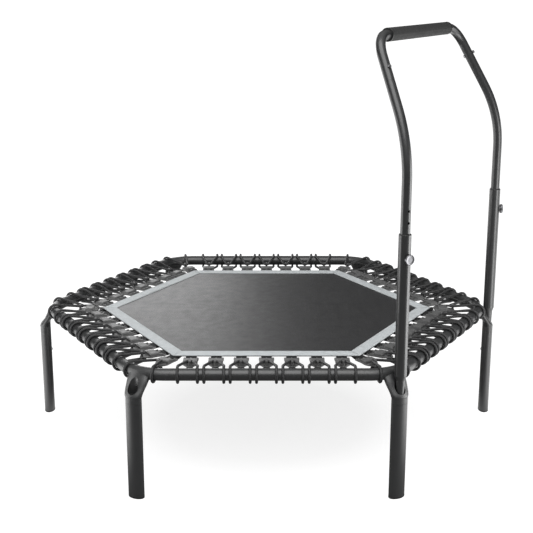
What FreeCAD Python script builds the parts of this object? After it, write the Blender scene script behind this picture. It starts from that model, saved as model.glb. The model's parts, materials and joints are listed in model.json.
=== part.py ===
"""Mini trampoline with an adjustable handlebar.

Millimetres, +Z up. The origin is on the floor under the middle of the mat. The frame is a
hexagon with its corners at 0, 60, 120 ... degrees from +X and one flat side facing -Y.
The handlebar stands in the corners at 0 and 300 degrees.
"""
import FreeCAD
import Part
import Sketcher
import math
import os
from types import SimpleNamespace

DIMENSIONS = {
    # hexagonal frame
    "apothem": 681.0,  # middle of the mat to the middle of a side tube
    "frame_height": 396.0,
    "tube_radius": 19.0,
    "tube_wall": 2.0,
    "bend_radius": 150.0,
    "seam_distance": 100.0,  # sharp corner of the tubes' centrelines to the seam
    "seam_gap": 0.5,
    "tube_spigot_length": 50.0,
    "spigot_clearance": 0.1,
    # legs and their sockets
    "leg_distance": 805.0,
    "leg_half_width": 27.8,
    "leg_half_depth": 18.2,
    "leg_wall": 2.0,
    "leg_seam_height": 311.0,
    "leg_spigot_bottom": 228.0,
    "arm_start": 18.0,  # height above the leg's seam where the bracket starts to lean in
    "foot_height": 6.0,
    "foot_plug_height": 20.0,
    "mouth_half_width": 18.3,
    "mouth_half_depth": 14.5,
    "mouth_bottom": 335.0,
    "socket_radius": 13.05,
    "socket_bottom": 250.0,
    "socket_bolt_height": 359.0,
    "socket_bolt_seat": 23.5,  # the leg's axis to the flat that the bolt's head rests on
    "leg_screw_height": 240.0,
    # jumping mat
    "mat_corner": 596.0,
    "mat_bottom": 394.0,
    "mat_thickness": 2.0,
    "edge_drop": 0.2,  # the mat is this much thinner under the border
    "border_corner": 592.4,
    "border_inner_corner": 544.0,
    "border_thickness": 1.7,
    "label_length": 146.0,
    "label_width": 36.0,
    "label_thickness": 0.6,
    # elastic loops and their hooks
    "loop_pitch": 79.5,
    "cord_radius": 4.5,
    "wrap_radius": 24.1,
    "loop_start": 585.0,  # middle of the mat to the round end of a loop
    "loop_start_half": 7.4,
    "loop_shoulder": 80.0,  # the round end to where the strands turn square to the tube
    "shoulder_radius": 40.0,
    "loop_tube_half": 30.0,
    "loop_corner_half": 42.4,
    "loop_top": 404.0,
    "loop_bottom": 380.5,
    "hook_bar": 521.0,  # middle of the mat to the bar that the webbing goes round
    "hook_corner_shift": 80.0,
    "hook_bottom": 387.0,
    "hook_thickness": 5.0,
    "hook_half_width": 23.0,
    "hook_block_height": 8.5,
    "peg_radius": 4.8,
    "peg_bottom": 378.0,
    "peg_height": 31.0,
    "tab_half_width": 17.0,
    "tab_thickness": 1.5,
    # handlebar
    "sleeve_radius": 19.0,
    "sleeve_top": 834.0,
    "upright_radius": 15.1,
    "upright_wall": 1.5,
    "upright_bottom": 660.0,
    "upright_bend_height": 1098.3,
    "upright_bend_radius": 416.7,
    "top_distance": 638.3,
    "top_height": 1391.4,
    "top_bend_radius": 81.6,
    "top_joint_drop": 144.0,
    "top_bolt_drop": 104.0,
    "top_spigot_length": 66.0,
    "grip_length": 488.0,
    "grip_radius": 20.5,
    "hole_pitch": 35.5,
    "hole_radius": 4.0,
    "pin_height": 763.5,
    "knob_radius": 15.8,
    "knob_face": 29.3,
}

SIDES = {
    "back_right": 30.0,
    "back": 90.0,
    "back_left": 150.0,
    "front_left": 210.0,
    "front": 270.0,
    "front_right": 330.0,
}
CORNERS = {
    "right": 0.0,
    "back_right": 60.0,
    "back_left": 120.0,
    "left": 180.0,
    "front_left": 240.0,
    "front_right": 300.0,
}
HANDLE_CORNERS = {"right": 0.0, "front": 300.0}
HANDLE_AZIMUTH = 330.0
HOLE_COUNT = 5
SIDE_LOOPS = 7
COS30 = math.cos(math.radians(30))
SIN30 = 0.5
X_AXIS = FreeCAD.Vector(1, 0, 0)
Y_AXIS = FreeCAD.Vector(0, 1, 0)
Z_AXIS = FreeCAD.Vector(0, 0, 1)

doc = FreeCAD.newDocument("mini_trampoline")
nodes = {}


# ---------------------------------------------------------------- sizes held by the sheet
class Size:
    """A length: its value, and the sheet expression that it comes from."""

    def __init__(self, value, text):
        self.value = float(value)
        self.text = text

    def __add__(self, other):
        other = as_size(other)
        return Size(self.value + other.value, f"({self.text} + {other.text})")

    def __sub__(self, other):
        other = as_size(other)
        return Size(self.value - other.value, f"({self.text} - {other.text})")

    def __mul__(self, factor):
        return Size(self.value * factor, f"({self.text} * {factor:.9f})")


def as_size(number):
    return number if isinstance(number, Size) else Size(number, f"{float(number):.9f}")


def make_sheet():
    """Write the driving dimensions in a spreadsheet and return them as sizes."""
    sheet = doc.addObject("Spreadsheet::Sheet", "Dims")
    for row, (alias, number) in enumerate(DIMENSIONS.items(), start=1):
        sheet.set(f"A{row}", alias)
        sheet.set(f"B{row}", str(number))
        sheet.setAlias(f"B{row}", alias)
    doc.recompute()
    return SimpleNamespace(**{a: Size(v, f"Dims.{a}") for a, v in DIMENSIONS.items()})


def bind(feature, **sizes):
    """Bind properties of a feature to the sheet."""
    for name, size in sizes.items():
        size = as_size(size)
        setattr(feature, name, size.value)
        feature.setExpression(name, size.text)


# ---------------------------------------------------------------- placements
def turn(azimuth):
    return FreeCAD.Placement(FreeCAD.Vector(), FreeCAD.Rotation(Z_AXIS, azimuth))


def at(x, y, z, direction=Z_AXIS):
    """A placement whose local Z axis points along direction."""
    return FreeCAD.Placement(FreeCAD.Vector(x, y, z), FreeCAD.Rotation(Z_AXIS, direction))


# ---------------------------------------------------------------- sketches
def new_body(name, placement=None):
    body = doc.addObject("PartDesign::Body", name)
    if placement:
        body.Placement = placement
    return body


def new_sketch(body, name, role="XY_Plane", offset=None):
    sketch = body.newObject("Sketcher::SketchObject", name)
    plane = next(f for f in body.Origin.OriginFeatures if f.Role == role)
    sketch.AttachmentSupport = (plane, "")
    sketch.MapMode = "FlatFace"
    if offset:
        sketch.AttachmentOffset = offset
    return sketch


def hold(sketch, geometry, point, x, y):
    """Hold a point of the sketch at (x, y)."""
    for axis, kind, size in ((-2, "DistanceX", as_size(x)), (-1, "DistanceY", as_size(y))):
        if abs(size.value) < 1e-9:
            sketch.addConstraint(Sketcher.Constraint("PointOnObject", geometry, point, axis))
            continue
        constraint = Sketcher.Constraint(kind, -1, 1, geometry, point, size.value)
        index = sketch.addConstraint(constraint)
        sketch.setExpression(f"Constraints[{index}]", size.text)


def measure(sketch, kind, geometry, size):
    """Give a radius or a length to one element."""
    size = as_size(size)
    index = sketch.addConstraint(Sketcher.Constraint(kind, geometry, size.value))
    sketch.setExpression(f"Constraints[{index}]", size.text)


def flat(x, y):
    return FreeCAD.Vector(as_size(x).value, as_size(y).value, 0)


def outline(sketch, points):
    """Draw a closed outline with straight edges."""
    first = sketch.GeometryCount
    places = [flat(x, y) for x, y in points]
    for place, following in zip(places, places[1:] + places[:1]):
        sketch.addGeometry(Part.LineSegment(place, following), False)
    for i, (x, y) in enumerate(points):
        before = first + (i - 1) % len(points)
        sketch.addConstraint(Sketcher.Constraint("Coincident", before, 2, first + i, 1))
        hold(sketch, first + i, 1, x, y)


def circle(sketch, radius, x=0, y=0):
    index = sketch.addGeometry(Part.Circle(flat(x, y), Z_AXIS, as_size(radius).value), False)
    measure(sketch, "Radius", index, radius)
    hold(sketch, index, 3, x, y)


def oval(sketch, half_depth, half_width):
    """An ellipse about the origin, with its long axis along the sketch's Y axis."""
    ellipse = Part.Ellipse(flat(0, half_width), flat(half_depth, 0), flat(0, 0))
    index = sketch.addGeometry(ellipse, False)
    sketch.exposeInternalGeometry(index)
    sketch.addConstraint(Sketcher.Constraint("Coincident", index, 3, -1, 1))
    sketch.addConstraint(Sketcher.Constraint("Vertical", index + 1))
    measure(sketch, "Distance", index + 1, as_size(half_width) * 2)
    measure(sketch, "Distance", index + 2, as_size(half_depth) * 2)


def rounded_corner(before, corner, after, radius):
    """The arc of the given radius that is tangent to both runs at a corner."""
    back = (before - corner).normalize()
    ahead = (after - corner).normalize()
    half = back.getAngle(ahead) / 2
    inward = (back + ahead).normalize()
    middle = corner + inward * (radius / math.sin(half) - radius)
    reach = radius / math.tan(half)
    return Part.Arc(corner + back * reach, middle, corner + ahead * reach)


def bent_path(sketch, points, radii):
    """Draw straight runs between the points, joined by tangent arcs."""
    places = [flat(x, y) for x, y in points]
    arcs = [
        rounded_corner(places[i], places[i + 1], places[i + 2], radius.value)
        for i, radius in enumerate(radii)
    ]
    joints = [p for arc in arcs for p in (arc.StartPoint, arc.EndPoint)]
    ends = [places[0]] + joints + [places[-1]]
    lines = [
        sketch.addGeometry(Part.LineSegment(ends[i], ends[i + 1]), False)
        for i in range(0, len(ends), 2)
    ]
    hold(sketch, lines[0], 1, *points[0])
    hold(sketch, lines[-1], 2, *points[-1])
    for i, (arc, radius) in enumerate(zip(arcs, radii)):
        curve = sketch.addGeometry(arc, False)
        forward = sketch.getPoint(curve, 1).distanceToPoint(arc.StartPoint) < 1e-6
        near, far = (1, 2) if forward else (2, 1)
        sketch.addConstraint(Sketcher.Constraint("Tangent", lines[i], 2, curve, near))
        sketch.addConstraint(Sketcher.Constraint("Tangent", curve, far, lines[i + 1], 1))
        measure(sketch, "Radius", curve, radius)
        corner = sketch.addGeometry(Part.Point(places[i + 1]), True)
        hold(sketch, corner, 1, *points[i + 1])
        for line in lines[i : i + 2]:
            sketch.addConstraint(Sketcher.Constraint("PointOnObject", corner, 1, line))


# ---------------------------------------------------------------- features
def pad(body, name, sketch, length, middle=False, reverse=False):
    feature = body.newObject("PartDesign::Pad", name)
    feature.Profile = sketch
    bind(feature, Length=length)
    feature.SideType = "Symmetric" if middle else "One side"
    feature.Reversed = reverse
    return feature


def pocket_up(body, name, sketch, length):
    feature = body.newObject("PartDesign::Pocket", name)
    feature.Profile = sketch
    bind(feature, Length=length)
    feature.Reversed = True
    return feature


def revolve(body, name, sketch, kind="Revolution", axis="V_Axis", angle=360.0):
    feature = body.newObject("PartDesign::" + kind, name)
    feature.Profile = sketch
    feature.ReferenceAxis = (sketch, [axis])
    feature.Angle = angle
    feature.Midplane = angle < 360.0
    return feature


def pipe(body, name, section, spine, kind="AdditivePipe"):
    feature = body.newObject("PartDesign::" + kind, name)
    feature.Profile = section
    feature.Spine = spine
    return feature


def rod(body, name, radius, length, base, direction, cut=False):
    """Add or cut a cylinder that starts at base and runs along direction."""
    kind = "Subtractive" if cut else "Additive"
    feature = body.newObject(f"PartDesign::{kind}Cylinder", name)
    bind(feature, Radius=radius, Height=length)
    base = [as_size(c) for c in base]
    feature.Placement = at(*[c.value for c in base], direction)
    for letter, size in zip("xyz", base):
        feature.setExpression(f"Placement.Base.{letter}", size.text)
    return feature


def turned(name, profile, placement=None):
    """A piece turned about its local Z axis from (radius, height) points."""
    body = new_body(name, placement)
    sketch = new_sketch(body, name + "_profile", "XZ_Plane")
    outline(sketch, profile)
    revolve(body, name + "_turned", sketch)
    return body


def keep(name, feature):
    """Make a finished document object one of the model's nodes."""
    feature.Label = name
    nodes[name] = feature
    return feature


def group(name, pieces):
    """A node of identical pieces: each shape is repeated at its own placements."""
    copies = []
    for shape, placements in pieces:
        for placement in placements:
            copy = shape.copy()
            copy.transformShape(placement.toMatrix(), True)
            copies.append(copy)
    feature = doc.addObject("Part::Feature", name)
    feature.Shape = Part.makeCompound(copies)
    keep(name, feature)


def check_cut(feature, before):
    """Stop if a cutting feature has taken nothing away."""
    doc.recompute()
    if feature.Shape.Volume > before - 1:
        raise RuntimeError(f"{feature.Name} cuts nothing")


# ---------------------------------------------------------------- frame
def bend_section(body, name, radius):
    """A circle on the bend's centreline, with the bend's axis as a construction line."""
    sketch = new_sketch(body, name, "XZ_Plane")
    centre = (d.apothem - d.bend_radius) * (1 / COS30)
    circle(sketch, radius, centre + d.bend_radius, d.frame_height)
    axis = sketch.addGeometry(Part.LineSegment(flat(centre, 300), flat(centre, 500)), True)
    hold(sketch, axis, 1, centre, 300)
    hold(sketch, axis, 2, centre, 500)
    return sketch


def arm_sections(body):
    """Oval sections from the top of the leg, up and inwards into the bent tube.

    Each is (distance from the middle, height, tilt, half depth, half width).
    """
    leg, seam, frame = d.leg_distance, d.leg_seam_height, d.frame_height
    depth, width = d.leg_half_depth, d.leg_half_width
    rows = [
        (leg, seam + d.arm_start, 0.0, depth, width),
        (leg, seam + d.arm_start + 6, 0.0, depth, width + 2.2),
        (leg - 7.0, frame - 45, 14.0, depth - 5.4, width + 5.8),
        (leg - 19.5, frame - 26, 40.0, depth - 4.5, width + 9.2),
        (leg - 27.0, frame - 15.5, 45.0, depth - 3.5, width + 10.0),
        (leg - 34.0, frame - 5, 50.0, depth - 2.5, width + 10.6),
    ]
    sketches = []
    for i, (x, z, tilt, half_depth, half_width) in enumerate(rows):
        tilted = FreeCAD.Rotation(Y_AXIS, -tilt)
        offset = FreeCAD.Placement(FreeCAD.Vector(x.value, 0, z.value), tilted)
        sketch = new_sketch(body, f"{body.Name}_section_{i}", offset=offset)
        sketch.setExpression("AttachmentOffset.Base.x", x.text)
        sketch.setExpression("AttachmentOffset.Base.z", z.text)
        oval(sketch, half_depth, half_width)
        sketches.append(sketch)
    return sketches


def corner_bracket(corner, azimuth):
    """The bent corner of the frame, with the leg arm and the handlebar socket."""
    name = "corner_bracket_" + corner
    body = new_body(name, turn(azimuth))
    revolve(body, name + "_bend", bend_section(body, name + "_bend_section", d.tube_radius),
            axis="Axis0", angle=60.0)
    straight = d.seam_distance - d.bend_radius * math.tan(math.radians(30))
    spigot_radius = d.tube_radius - d.tube_wall - d.spigot_clearance
    centre = (d.apothem - d.bend_radius) * (1 / COS30)
    ends = []
    for side, word in ((1, "ccw"), (-1, "cw")):
        base = (centre + d.bend_radius * COS30, d.bend_radius * (side * SIN30), d.frame_height)
        along = FreeCAD.Vector(-SIN30, side * COS30, 0)
        ends.append((base, along, word))
        rod(body, f"{name}_stub_{word}", d.tube_radius, straight, base, along)
        rod(body, f"{name}_spigot_{word}", spigot_radius, straight + d.tube_spigot_length,
            base, along)
    sections = arm_sections(body)
    arm = body.newObject("PartDesign::AdditiveLoft", name + "_arm")
    arm.Profile = sections[0]
    arm.Sections = sections[1:]
    leg_spigot(body, name)
    hollow_bracket(body, name, ends, spigot_radius - d.tube_wall, straight)
    cut_socket(body, name)
    return keep(name, body)


def leg_section(body, name, height):
    """An empty sketch on the leg's axis at a height."""
    place = FreeCAD.Vector(d.leg_distance.value, 0, height.value)
    sketch = new_sketch(body, name, offset=FreeCAD.Placement(place, FreeCAD.Rotation()))
    sketch.setExpression("AttachmentOffset.Base.x", d.leg_distance.text)
    sketch.setExpression("AttachmentOffset.Base.z", height.text)
    return sketch


def leg_spigot(body, name):
    """The bracket's straight foot, and the oval plug that the leg tube slides over."""
    foot = leg_section(body, name + "_foot_section", d.leg_seam_height)
    oval(foot, d.leg_half_depth, d.leg_half_width)
    pad(body, name + "_foot", foot, d.arm_start)
    sketch = leg_section(body, name + "_leg_spigot_section", d.leg_seam_height)
    fit = d.leg_wall + d.spigot_clearance * 2
    oval(sketch, d.leg_half_depth - fit, d.leg_half_width - fit)
    pad(body, name + "_leg_spigot", sketch, d.leg_seam_height - d.leg_spigot_bottom,
        reverse=True)


def hollow_bracket(body, name, ends, radius, straight):
    """Cut the tube's hollow through the bend and both spigots."""
    doc.recompute()
    before = body.Shape.Volume
    section = bend_section(body, name + "_hollow_section", radius)
    groove = revolve(body, name + "_hollow", section, "Groove", "Axis0", 60.0)
    check_cut(groove, before)
    for base, along, word in ends:
        length = straight + d.tube_spigot_length + 1
        rod(body, f"{name}_hollow_{word}", radius, length, base, along, cut=True)


def cut_socket(body, name):
    """Cut the oval mouth, the round socket under it, the bolt's seat and the screw holes."""
    doc.recompute()
    before = body.Shape.Volume
    sketch = leg_section(body, name + "_mouth_section", d.mouth_bottom)
    oval(sketch, d.mouth_half_depth, d.mouth_half_width)
    mouth = pocket_up(body, name + "_mouth", sketch, d.frame_height + 50 - d.mouth_bottom)
    check_cut(mouth, before)
    base = (d.leg_distance, 0, d.socket_bottom)
    rod(body, name + "_socket", d.socket_radius, d.mouth_bottom + 1 - d.socket_bottom,
        base, Z_AXIS, cut=True)
    base = (d.leg_distance - 35, 0, d.socket_bolt_height)
    rod(body, name + "_bolt_hole", 4.0, 25, base, X_AXIS, cut=True)
    base = (d.leg_distance - d.socket_bolt_seat, 0, d.socket_bolt_height)
    rod(body, name + "_bolt_seat", 6.6, 25, base, X_AXIS * -1, cut=True)
    base = (d.leg_distance - 25, 0, d.leg_screw_height)
    rod(body, name + "_screw_hole", 2.55, 21, base, X_AXIS, cut=True)


def side_tube(side, azimuth):
    name = "side_tube_" + side
    body = new_body(name, turn(azimuth))
    sketch = new_sketch(body, name + "_section", "XZ_Plane")
    circle(sketch, d.tube_radius, d.apothem, d.frame_height)
    circle(sketch, d.tube_radius - d.tube_wall, d.apothem, d.frame_height)
    half_side = d.apothem * math.tan(math.radians(30)) - d.seam_distance - d.seam_gap
    pad(body, name + "_pad", sketch, half_side * 2, middle=True)
    keep(name, body)


def leg_body(name, azimuth):
    """A body whose local Z axis is the leg's axis, with its local X axis pointing outwards."""
    return new_body(name, turn(azimuth) * at(d.leg_distance.value, 0, 0))


def raised(size):
    return FreeCAD.Placement(FreeCAD.Vector(0, 0, size.value), FreeCAD.Rotation())


def leg_tube(corner, azimuth):
    name = "leg_" + corner
    body = leg_body(name, azimuth)
    sketch = new_sketch(body, name + "_section", offset=raised(d.foot_height))
    sketch.setExpression("AttachmentOffset.Base.z", d.foot_height.text)
    oval(sketch, d.leg_half_depth, d.leg_half_width)
    oval(sketch, d.leg_half_depth - d.leg_wall, d.leg_half_width - d.leg_wall)
    pad(body, name + "_pad", sketch, d.leg_seam_height - d.seam_gap - d.foot_height)
    rod(body, name + "_screw_hole", 2.6, 10, (-22, 0, d.leg_screw_height), X_AXIS, cut=True)
    keep(name, body)


def foot_cap(corner, azimuth):
    """A rubber cap with an oval plug that goes up into the leg."""
    name = "foot_cap_" + corner
    body = leg_body(name, azimuth)
    base = new_sketch(body, name + "_base_section")
    oval(base, d.leg_half_depth + 0.2, d.leg_half_width + 0.2)
    block = pad(body, name + "_base", base, d.foot_height)
    doc.recompute()
    edges = block.Shape.Edges
    lowest = min(range(len(edges)), key=lambda i: edges[i].CenterOfMass.z)
    rounding = body.newObject("PartDesign::Fillet", name + "_rounding")
    rounding.Base = (block, [f"Edge{lowest + 1}"])
    rounding.Radius = 2.5
    plug = new_sketch(body, name + "_plug_section", offset=raised(d.foot_height))
    plug.setExpression("AttachmentOffset.Base.z", d.foot_height.text)
    fit = d.leg_wall + d.spigot_clearance * 2
    oval(plug, d.leg_half_depth - fit, d.leg_half_width - fit)
    pad(body, name + "_plug", plug, d.foot_plug_height)
    keep(name, body)


def make_leg_screws():
    """Button-head screws that hold each leg from its inner side."""
    screw = turned("leg_screw", [(0, -3), (3, -3), (5, -1.4), (5, 0), (2.5, 0), (2.5, 14), (0, 14)])
    doc.recompute()
    start = d.leg_distance.value - d.leg_half_depth.value
    place = at(start, 0, d.leg_screw_height.value, X_AXIS)
    group("leg_screws", [(screw.Shape, [turn(a) * place for a in CORNERS.values()])])


# ---------------------------------------------------------------- mat
def hexagon(sketch, radius):
    corners = [math.radians(a) for a in CORNERS.values()]
    outline(sketch, [(radius * math.cos(a), radius * math.sin(a)) for a in corners])


def make_mat():
    """The woven mat, a little thinner where the border is sewn on."""
    body = new_body("mat_fabric")
    for word, corner, thickness in (
        ("sheet", d.mat_corner, d.mat_thickness - d.edge_drop),
        ("middle", d.border_inner_corner - 0.6, d.mat_thickness),
    ):
        sketch = new_sketch(body, f"mat_{word}_outline", offset=raised(d.mat_bottom))
        sketch.setExpression("AttachmentOffset.Base.z", d.mat_bottom.text)
        hexagon(sketch, corner)
        pad(body, f"mat_{word}", sketch, thickness)
    keep("mat_fabric", body)


def make_border():
    """Six strips of webbing, mitred at the mat's corners."""
    body = new_body("border_strip")
    level = d.mat_bottom + d.mat_thickness - d.edge_drop
    sketch = new_sketch(body, "border_outline", offset=raised(level))
    sketch.setExpression("AttachmentOffset.Base.z", level.text)
    inner, outer = d.border_inner_corner, d.border_corner
    outline(sketch, [
        (inner * COS30, inner * -SIN30),
        (outer * COS30, outer * -SIN30),
        (outer * COS30, outer * SIN30),
        (inner * COS30, inner * SIN30),
    ])
    pad(body, "border_pad", sketch, d.border_thickness)
    doc.recompute()
    group("mat_border", [(body.Shape, [turn(a) for a in SIDES.values()])])


def make_label():
    """A plain patch sewn on the back left strip of the border."""
    label = doc.addObject("Part::Box", "mat_label")
    bind(label, Length=d.label_width, Width=d.label_length, Height=d.label_thickness)
    middle = (d.border_inner_corner.value + d.border_corner.value) * COS30 / 2
    level = d.mat_bottom + d.mat_thickness - d.edge_drop + d.border_thickness
    corner = FreeCAD.Vector(middle - d.label_width.value / 2, -d.label_length.value / 2,
                            level.value)
    label.Placement = turn(SIDES["back_left"]) * FreeCAD.Placement(corner, FreeCAD.Rotation())
    keep("mat_label", label)


def hook_body():
    """A moulded hook: a slotted plate for the webbing, a raised block and a peg for the loop."""
    body = new_body("hook")
    plate = new_sketch(body, "hook_plate_outline", offset=raised(d.hook_bottom))
    plate.setExpression("AttachmentOffset.Base.z", d.hook_bottom.text)
    bar, half, wide = d.hook_bar, d.tab_half_width, d.hook_half_width
    outline(plate, [
        (bar - 2.5, half * -1 - 7), (bar + 8, half * -1 - 7), (bar + 54, wide * -1),
        (bar + 62, wide * -1 + 4), (bar + 80, -6), (bar + 80, 6), (bar + 62, wide - 4),
        (bar + 54, wide), (bar + 8, half + 7), (bar - 2.5, half + 7),
    ])
    outline(plate, [
        (bar + 2.5, half * -1 - 1), (bar + 8, half * -1 - 1),
        (bar + 8, half + 1), (bar + 2.5, half + 1),
    ])
    for side in (-1, 1):
        outline(plate, [
            (bar + 11, 3 * side), (bar + 11, 17 * side), (bar + 21, 14 * side), (bar + 21, 9 * side),
        ][::side])
    pad(body, "hook_plate", plate, d.hook_thickness)
    level = d.hook_bottom + d.hook_thickness
    block = new_sketch(body, "hook_block_outline", offset=raised(level))
    block.setExpression("AttachmentOffset.Base.z", level.text)
    outline(block, [
        (bar + 24, wide * -1 + 1), (bar + 54, wide * -1),
        (bar + 54, wide), (bar + 24, wide - 1),
    ])
    pad(body, "hook_block", block, d.hook_block_height)
    rod(body, "hook_peg", d.peg_radius, d.peg_height, (d.loop_start + 10.1, 0, d.peg_bottom),
        Z_AXIS)
    return body


def tab_body():
    """A webbing loop, folded round the hook's bar and sewn under the mat."""
    body = new_body("tab")
    sketch = new_sketch(body, "tab_side", "XZ_Plane")
    bar, thick = d.hook_bar, d.tab_thickness
    low = d.hook_bottom - 0.3
    high = d.hook_bottom + d.hook_thickness + 0.3
    outline(sketch, [
        (bar - 36, low - thick), (bar + 4.6, low - thick), (bar + 4.6, high + thick),
        (bar - 36, high + thick), (bar - 36, high), (bar + 3.1, high),
        (bar + 3.1, low), (bar - 36, low),
    ])
    pad(body, "tab_pad", sketch, d.tab_half_width * 2, middle=True)
    return body


# ---------------------------------------------------------------- elastic loops
def tangent_point(start, centre, radius, up):
    """Where a line from start touches a circle: above it, or below it."""
    reach = centre - start
    swing = math.asin(radius / reach.Length)
    heading = math.atan2(reach.y, reach.x) + (swing if up else -swing)
    length = math.sqrt(reach.Length ** 2 - radius ** 2)
    return start + FreeCAD.Vector(math.cos(heading), math.sin(heading), 0) * length


def round_end(tip, start, heading):
    """Half of a loop's round end: an arc from the tip to the run that starts beside it.

    Start and heading are those of the straight run, carried back to the tip's distance.
    """
    across = FreeCAD.Vector(heading.x, 0, heading.z).normalize()
    spread = math.asin(heading.y)
    radius = start.y * math.cos(spread) / (1 - heading.y)
    middle = tip + across * radius

    def on_arc(swing):
        return middle - across * (radius * math.sin(swing)) + Y_AXIS * (radius * math.cos(swing))

    return Part.Arc(tip, on_arc((spread + math.pi / 2) / 2), on_arc(spread))


def strand_run(start_x, height, level, touch, shoulder):
    """The curves from a loop's round end to where its strand touches the tube.

    Level is where the strand's last run, carried back, passes the round end.
    """
    tip = FreeCAD.Vector(start_x, 0, height)
    start = tip + Y_AXIS * d.loop_start_half.value
    corner = touch
    if shoulder:
        corner = level + (touch - level).normalize() * shoulder
    end = round_end(tip, start, (corner - start).normalize())
    if not shoulder:
        return [end, Part.LineSegment(end.EndPoint, touch)]
    bend = rounded_corner(end.EndPoint, corner, touch, d.shoulder_radius.value)
    return [end, Part.LineSegment(end.EndPoint, bend.StartPoint), bend,
            Part.LineSegment(bend.EndPoint, touch)]


def loop_shape(start_x, tube_x, tube_y, shoulder=0.0):
    """A closed elastic loop: two strands wrap the tube, with a round end over and under the hook.

    One strand is drawn, from the middle of the upper end to the middle of the lower end. With a
    shoulder it turns there, so that it crosses the tube squarely.
    """
    start_y = tube_y if shoulder else d.loop_start_half.value
    ahead = FreeCAD.Vector(tube_x - start_x, tube_y - start_y, 0)
    reach = ahead.Length
    ahead.normalize()
    centre = FreeCAD.Vector(reach, d.frame_height.value, 0)
    wrap = d.wrap_radius.value

    def place(point):
        return FreeCAD.Vector(start_x, start_y, point.y) + ahead * point.x

    touches, runs = [], []
    for height, up in ((d.loop_top.value, True), (d.loop_bottom.value, False)):
        level = FreeCAD.Vector(0, height, 0)
        touch = place(tangent_point(level, centre, wrap, up))
        touches.append(touch)
        runs.append(strand_run(start_x, height, place(level), touch, shoulder))
    around = Part.Arc(touches[0], place(centre + X_AXIS * wrap), touches[1])
    spine = Part.Wire([edge.toShape() for edge in runs[0] + [around] + runs[1][::-1]])
    ring = Part.makeCircle(d.cord_radius.value, runs[0][0].StartPoint, Y_AXIS)
    strand = spine.makePipeShell([Part.Wire(ring)], True, False)
    cord = strand.fuse(strand.mirror(FreeCAD.Vector(), Y_AXIS)).Solids[0]
    expected = math.pi * d.cord_radius.value ** 2 * spine.Length * 2
    print(f"loop length {spine.Length * 2:.1f} mm, volume ratio {cord.Volume / expected:.4f}")
    return cord


def make_loops():
    """Hooks, webbing tabs and elastic loops: seven for each side and one for each corner."""
    hook, tab = hook_body(), tab_body()
    doc.recompute()
    bend_centre = (d.apothem.value - d.bend_radius.value) / COS30
    swing = math.asin(d.loop_corner_half.value / d.bend_radius.value)
    corner_x = bend_centre + d.bend_radius.value * math.cos(swing)
    shift = d.hook_corner_shift.value
    side_loop = loop_shape(d.loop_start.value, d.apothem.value, d.loop_tube_half.value,
                           d.loop_shoulder.value)
    corner_loop = loop_shape(d.loop_start.value + shift, corner_x, d.loop_corner_half.value)
    steps = [i - (SIDE_LOOPS - 1) / 2 for i in range(SIDE_LOOPS)]
    tab_places = []
    for side, azimuth in SIDES.items():
        corner = turn(azimuth + 30)
        along = [turn(azimuth) * at(0, k * d.loop_pitch.value, 0) for k in steps]
        outward = corner * at(shift, 0, 0)
        group("bungees_" + side, [(side_loop, along), (corner_loop, [corner])])
        group("hooks_" + side, [(hook.Shape, along + [outward])])
        tab_places += along + [outward]
    group("webbing_tabs", [(tab.Shape, tab_places)])


# ---------------------------------------------------------------- handlebar
def sleeve(corner, azimuth):
    """The lower tube of the handlebar, swaged at its foot to stand in the corner socket."""
    name = "handle_sleeve_" + corner
    radius, wall = d.sleeve_radius, d.tube_wall
    foot = d.socket_radius - 0.05
    bottom, top = d.socket_bottom, d.sleeve_top
    body = turned(name, [
        (foot, bottom), (foot, bottom + 95), (foot + 1.2, bottom + 136),
        (radius, bottom + 150), (radius, top), (radius - wall, top),
        (radius - wall, bottom + 153), (foot - wall + 1.2, bottom + 139),
        (foot - wall, bottom + 96), (foot - wall, bottom),
    ], turn(azimuth) * at(d.leg_distance.value, 0, 0))
    rod(body, name + "_pin_hole", 6.5, 30, (0, 0, d.pin_height), X_AXIS, cut=True)
    rod(body, name + "_bolt_hole", 3.05, 30, (0, 0, d.socket_bolt_height), X_AXIS * -1, cut=True)
    keep(name, body)


def sleeve_bushing(corner, azimuth):
    """The plastic ring that guides the upright at the top of its sleeve."""
    inner = d.upright_radius + 0.05
    outer = d.sleeve_radius - d.tube_wall - 0.05
    top = d.sleeve_top
    body = turned("sleeve_bushing_" + corner, [
        (inner, top - 30), (outer, top - 30), (outer, top), (d.sleeve_radius - 0.3, top),
        (d.sleeve_radius - 0.9, top + 1.6), (inner + 0.8, top + 2.8), (inner, top + 2.8),
    ], turn(azimuth) * at(d.leg_distance.value, 0, 0))
    keep("sleeve_bushing_" + corner, body)


def slant_point(distance):
    """A point on the slanted run, measured down from the top corner, as (x, z) sizes."""
    run = DIMENSIONS["leg_distance"] - DIMENSIONS["top_distance"]
    rise = DIMENSIONS["top_height"] - DIMENSIONS["upright_bend_height"]
    length = math.hypot(run, rise)
    return (d.top_distance + distance * (run / length), d.top_height - distance * (rise / length))


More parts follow.
